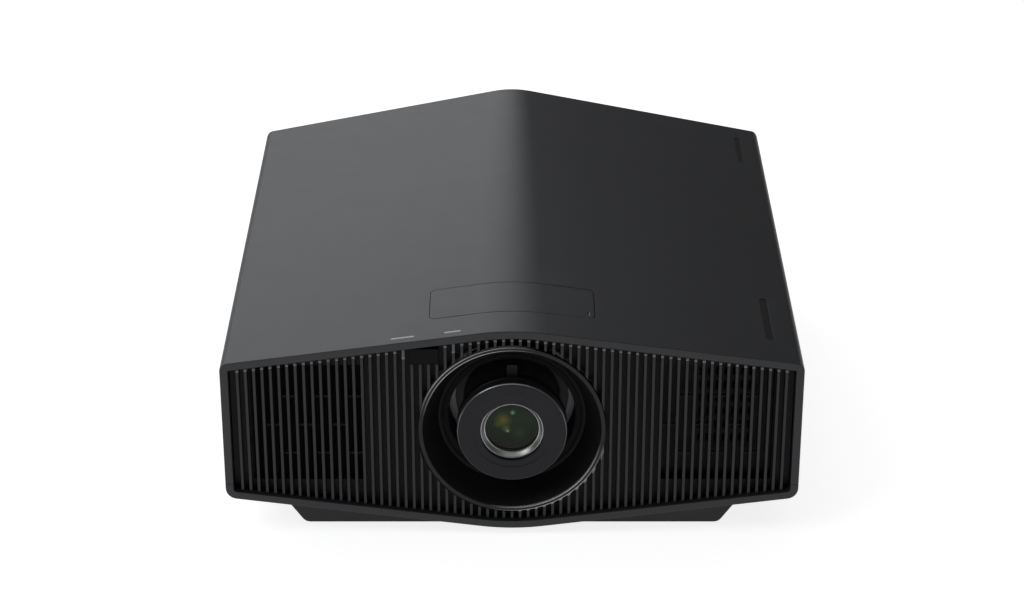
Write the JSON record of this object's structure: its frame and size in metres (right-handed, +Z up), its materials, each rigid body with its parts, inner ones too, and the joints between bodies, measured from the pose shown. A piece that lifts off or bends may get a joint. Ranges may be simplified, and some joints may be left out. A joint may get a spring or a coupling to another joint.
{
  "type": "home projector",
  "caption": "Home cinema projector with a creased roof, finned front grille, deep round lens funnel, shiftable zoom lens, rear terminals and adjustable feet.",
  "frame": {"origin": "on the ground under the middle of the overall box", "axes": "+Z up, the lens looks along -Y, +X is on the right seen from the front"},
  "size_m": [0.46, 0.472, 0.1996],
  "materials": {
    "shell": "fine matt paint-like texture, charcoal",
    "grille": "matt moulded black",
    "funnel": "satin moulded black",
    "black_moulding": "matt moulded black",
    "smoked_window": "smoked, gloss",
    "light_guide": "frosted clear",
    "lens_ring": "anodised satin black",
    "bright_ring": "turned, satin",
    "lens_glass": "coated, green and amber sheen",
    "dials": "moulded black",
    "buttons": "satin moulded",
    "cast_alloy": "die cast",
    "steel": "zinc plated",
    "plated_sockets": "nickel plated",
    "engine_black": "black anodised",
    "phosphor": "phosphor-coated disc",
    "circuit_board": "green solder mask",
    "rubber": "soft black rubber"
  },
  "bodies": {
    "body": {"top_cover": "shell", "bottom_case": "shell", "rear_panel": "shell", "front_grille": "grille", "lens_funnel": "funnel", "dial_tray": "black_moulding", "base_pan": "black_moulding", "terminal_panel": "black_moulding", "ac_inlet": "black_moulding", "trigger_jack": "black_moulding", "ir_jack": "black_moulding", "left_fan_frame": "black_moulding", "right_fan_frame": "black_moulding", "red_panel": "black_moulding", "green_panel": "black_moulding", "blue_panel": "black_moulding", "ir_window": "smoked_window", "power_light_guide": "light_guide", "warning_light_guide": "light_guide", "colour_cube": "lens_glass", "lens_mount_plate": "cast_alloy", "engine_housing": "cast_alloy", "laser_heat_sink": "cast_alloy", "exhaust_screen": "steel", "hdmi_port_1": "plated_sockets", "hdmi_port_2": "plated_sockets", "usb_port": "plated_sockets", "lan_port": "plated_sockets", "serial_port": "plated_sockets", "wheel_motor": "engine_black", "laser_module": "engine_black", "power_board": "circuit_board", "main_board": "circuit_board", "terminal_board": "circuit_board", "left_rear_foot": "rubber", "right_rear_foot": "rubber"},
    "lid": {"shift_lid": "shell"},
    "vertical_slide": {"vertical_carriage": "cast_alloy"},
    "lens": {"horizontal_carriage": "cast_alloy", "lens_barrel": "black_moulding", "glass_retainer": "bright_ring", "front_glass": "lens_glass", "rear_glass": "lens_glass"},
    "focus": {"focus_ring": "lens_ring"},
    "zoom": {"zoom_ring": "lens_ring"},
    "vertical_dial": {"vertical_shift_dial": "dials", "vertical_screw": "steel"},
    "horizontal_dial": {"horizontal_shift_dial": "dials"},
    "wheel": {"phosphor_wheel": "phosphor"},
    "left_rotor": {"left_fan_rotor": "dials"},
    "right_rotor": {"right_fan_rotor": "dials"},
    "power_key": {"power_button": "buttons"},
    "input_key": {"input_button": "buttons"},
    "menu_key": {"menu_button": "buttons"},
    "stick_gimbal": {"joystick_gimbal": "steel"},
    "stick": {"joystick_knob": "buttons"},
    "left_foot": {"left_foot_pad": "rubber"},
    "left_foot_thread": {"left_foot_screw": "steel"},
    "right_foot": {"right_foot_pad": "rubber"},
    "right_foot_thread": {"right_foot_screw": "steel"}
  },
  "joints": [
    {"name": "lid_tilt", "type": "hinge", "parent": "body", "child": "lid", "pos_m": [-0.0655, -0.176, 0.1806], "axis": [0, -1, 0], "range_deg": [0, 60]},
    {"name": "vertical_shift", "type": "slide", "parent": "body", "child": "vertical_slide", "axis": [0, 0, 1], "range_m": [-0.0054, 0.0054]},
    {"name": "horizontal_shift", "type": "slide", "parent": "vertical_slide", "child": "lens", "axis": [1, 0, 0], "range_m": [-0.0034, 0.0034]},
    {"name": "zoom_turn", "type": "hinge", "parent": "lens", "child": "zoom", "pos_m": [0, -0.225, 0.096], "axis": [0, 1, 0], "range_deg": [-35, 35]},
    {"name": "focus_turn", "type": "hinge", "parent": "lens", "child": "focus", "pos_m": [0, -0.225, 0.096], "axis": [0, 1, 0], "range_deg": [-60, 60]},
    {"name": "vertical_dial_turn", "type": "hinge", "parent": "body", "child": "vertical_dial", "pos_m": [-0.032, -0.1807, 0.172], "axis": [0, 0, 1], "range_deg": [-245, 245]},
    {"name": "horizontal_dial_turn", "type": "hinge", "parent": "body", "child": "horizontal_dial", "pos_m": [0.032, -0.1807, 0.172], "axis": [0, 0, 1], "range_deg": [-50, 50]},
    {"name": "wheel_spin", "type": "hinge", "parent": "body", "child": "wheel", "pos_m": [0.045, -0.0158, 0.096], "axis": [0, 1, 0], "continuous": true},
    {"name": "left_fan_spin", "type": "hinge", "parent": "body", "child": "left_rotor", "pos_m": [-0.163, -0.188, 0.098], "axis": [0, 1, 0], "continuous": true},
    {"name": "right_fan_spin", "type": "hinge", "parent": "body", "child": "right_rotor", "pos_m": [0.163, -0.188, 0.098], "axis": [0, 1, 0], "continuous": true},
    {"name": "power_press", "type": "slide", "parent": "body", "child": "power_key", "axis": [0, -1, 0], "range_m": [0, 0.0009], "stiffness_N_per_m": 500},
    {"name": "input_press", "type": "slide", "parent": "body", "child": "input_key", "axis": [0, -1, 0], "range_m": [0, 0.0009], "stiffness_N_per_m": 500},
    {"name": "menu_press", "type": "slide", "parent": "body", "child": "menu_key", "axis": [0, -1, 0], "range_m": [0, 0.0009], "stiffness_N_per_m": 500},
    {"name": "stick_up_down", "type": "hinge", "parent": "body", "child": "stick_gimbal", "pos_m": [0.178, 0.2225, 0.054], "axis": [1, 0, 0], "range_deg": [-8, 8], "stiffness_Nm_per_rad": 0.02},
    {"name": "stick_left_right", "type": "hinge", "parent": "stick_gimbal", "child": "stick", "pos_m": [0.178, 0.2225, 0.054], "axis": [0, 0, 1], "range_deg": [-8, 8], "stiffness_Nm_per_rad": 0.02},
    {"name": "left_foot_lift", "type": "slide", "parent": "body", "child": "left_foot", "axis": [0, 0, -1], "range_m": [0, 0.008]},
    {"name": "left_foot_turn", "type": "hinge", "parent": "left_foot", "child": "left_foot_thread", "pos_m": [-0.14, -0.179, 0.005], "axis": [0, 0, -1], "range_deg": [0, 2306]},
    {"name": "right_foot_lift", "type": "slide", "parent": "body", "child": "right_foot", "axis": [0, 0, -1], "range_m": [0, 0.008]},
    {"name": "right_foot_turn", "type": "hinge", "parent": "right_foot", "child": "right_foot_thread", "pos_m": [0.14, -0.179, 0.005], "axis": [0, 0, -1], "range_deg": [0, 2306]}
  ],
  "couplings": [
    {"joint": "vertical_dial_turn", "follows": "vertical_shift", "rad_per_m": 785.4},
    {"joint": "horizontal_dial_turn", "follows": "horizontal_shift", "rad_per_m": -250},
    {"joint": "left_foot_turn", "follows": "left_foot_lift", "rad_per_m": 5026.5},
    {"joint": "right_foot_turn", "follows": "right_foot_lift", "rad_per_m": 5026.5}
  ]
}
